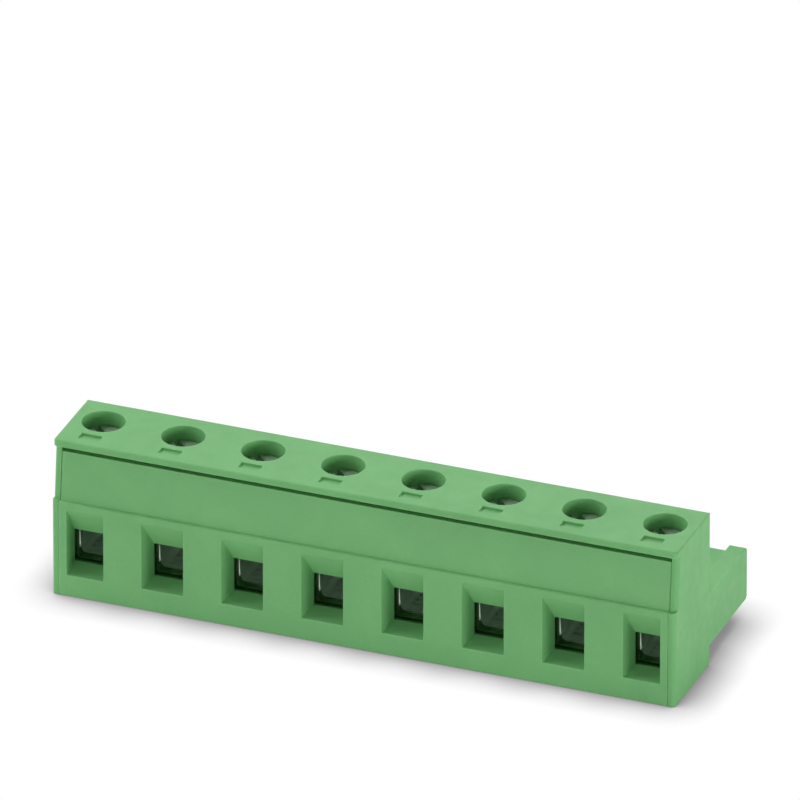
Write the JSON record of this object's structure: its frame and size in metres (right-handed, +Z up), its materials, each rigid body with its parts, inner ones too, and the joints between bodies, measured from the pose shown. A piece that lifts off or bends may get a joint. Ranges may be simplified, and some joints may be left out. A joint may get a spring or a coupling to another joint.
{
  "type": "pluggable terminal block",
  "caption": "Green pluggable screw terminal block: funnelled wire entries in front, screw bores on top, ribbed plug nose behind.",
  "frame": {"origin": "centre of the footprint of the whole block, on the surface that it stands on", "axes": "+X along the row of poles, +Y from the wire side to the plug nose, +Z up out of the screw bores"},
  "size_m": [0.0582, 0.0182, 0.015],
  "materials": {
    "housing_plastic": "fine satin moulding",
    "front_plastic": "fine satin moulding",
    "screw_steel": "zinc plated",
    "cage_metal": "nickel plated brass",
    "contact_metal": "tin plated copper alloy"
  },
  "bodies": {
    "housing": {"housing": "housing_plastic", "funnel_front": "front_plastic", "contact_1": "contact_metal", "contact_2": "contact_metal", "contact_3": "contact_metal", "contact_4": "contact_metal", "contact_5": "contact_metal", "contact_6": "contact_metal", "contact_7": "contact_metal", "contact_8": "contact_metal"},
    "screw_1": {"clamp_screw_1": "screw_steel"},
    "cage_1": {"clamp_cage_1": "cage_metal"},
    "screw_2": {"clamp_screw_2": "screw_steel"},
    "cage_2": {"clamp_cage_2": "cage_metal"},
    "screw_3": {"clamp_screw_3": "screw_steel"},
    "cage_3": {"clamp_cage_3": "cage_metal"},
    "screw_4": {"clamp_screw_4": "screw_steel"},
    "cage_4": {"clamp_cage_4": "cage_metal"},
    "screw_5": {"clamp_screw_5": "screw_steel"},
    "cage_5": {"clamp_cage_5": "cage_metal"},
    "screw_6": {"clamp_screw_6": "screw_steel"},
    "cage_6": {"clamp_cage_6": "cage_metal"},
    "screw_7": {"clamp_screw_7": "screw_steel"},
    "cage_7": {"clamp_cage_7": "cage_metal"},
    "screw_8": {"clamp_screw_8": "screw_steel"},
    "cage_8": {"clamp_cage_8": "cage_metal"}
  },
  "joints": [
    {"name": "screw_turn_1", "type": "hinge", "parent": "housing", "child": "screw_1", "pos_m": [-0.02625, -0.0039, 0.01193], "axis": [0, 0, -1], "range_deg": [0, 1800]},
    {"name": "cage_lift_1", "type": "slide", "parent": "housing", "child": "cage_1", "axis": [0, 0, 1], "range_m": [0, 0.0025]},
    {"name": "screw_turn_2", "type": "hinge", "parent": "housing", "child": "screw_2", "pos_m": [-0.01875, -0.0039, 0.01193], "axis": [0, 0, -1], "range_deg": [0, 1800]},
    {"name": "cage_lift_2", "type": "slide", "parent": "housing", "child": "cage_2", "axis": [0, 0, 1], "range_m": [0, 0.0025]},
    {"name": "screw_turn_3", "type": "hinge", "parent": "housing", "child": "screw_3", "pos_m": [-0.01125, -0.0039, 0.01193], "axis": [0, 0, -1], "range_deg": [0, 1800]},
    {"name": "cage_lift_3", "type": "slide", "parent": "housing", "child": "cage_3", "axis": [0, 0, 1], "range_m": [0, 0.0025]},
    {"name": "screw_turn_4", "type": "hinge", "parent": "housing", "child": "screw_4", "pos_m": [-0.00375, -0.0039, 0.01193], "axis": [0, 0, -1], "range_deg": [0, 1800]},
    {"name": "cage_lift_4", "type": "slide", "parent": "housing", "child": "cage_4", "axis": [0, 0, 1], "range_m": [0, 0.0025]},
    {"name": "screw_turn_5", "type": "hinge", "parent": "housing", "child": "screw_5", "pos_m": [0.00375, -0.0039, 0.01193], "axis": [0, 0, -1], "range_deg": [0, 1800]},
    {"name": "cage_lift_5", "type": "slide", "parent": "housing", "child": "cage_5", "axis": [0, 0, 1], "range_m": [0, 0.0025]},
    {"name": "screw_turn_6", "type": "hinge", "parent": "housing", "child": "screw_6", "pos_m": [0.01125, -0.0039, 0.01193], "axis": [0, 0, -1], "range_deg": [0, 1800]},
    {"name": "cage_lift_6", "type": "slide", "parent": "housing", "child": "cage_6", "axis": [0, 0, 1], "range_m": [0, 0.0025]},
    {"name": "screw_turn_7", "type": "hinge", "parent": "housing", "child": "screw_7", "pos_m": [0.01875, -0.0039, 0.01193], "axis": [0, 0, -1], "range_deg": [0, 1800]},
    {"name": "cage_lift_7", "type": "slide", "parent": "housing", "child": "cage_7", "axis": [0, 0, 1], "range_m": [0, 0.0025]},
    {"name": "screw_turn_8", "type": "hinge", "parent": "housing", "child": "screw_8", "pos_m": [0.02625, -0.0039, 0.01193], "axis": [0, 0, -1], "range_deg": [0, 1800]},
    {"name": "cage_lift_8", "type": "slide", "parent": "housing", "child": "cage_8", "axis": [0, 0, 1], "range_m": [0, 0.0025]}
  ],
  "couplings": [
    {"joint": "screw_turn_1", "follows": "cage_lift_1", "rad_per_m": 12566},
    {"joint": "screw_turn_2", "follows": "cage_lift_2", "rad_per_m": 12566},
    {"joint": "screw_turn_3", "follows": "cage_lift_3", "rad_per_m": 12566},
    {"joint": "screw_turn_4", "follows": "cage_lift_4", "rad_per_m": 12566},
    {"joint": "screw_turn_5", "follows": "cage_lift_5", "rad_per_m": 12566},
    {"joint": "screw_turn_6", "follows": "cage_lift_6", "rad_per_m": 12566},
    {"joint": "screw_turn_7", "follows": "cage_lift_7", "rad_per_m": 12566},
    {"joint": "screw_turn_8", "follows": "cage_lift_8", "rad_per_m": 12566}
  ]
}
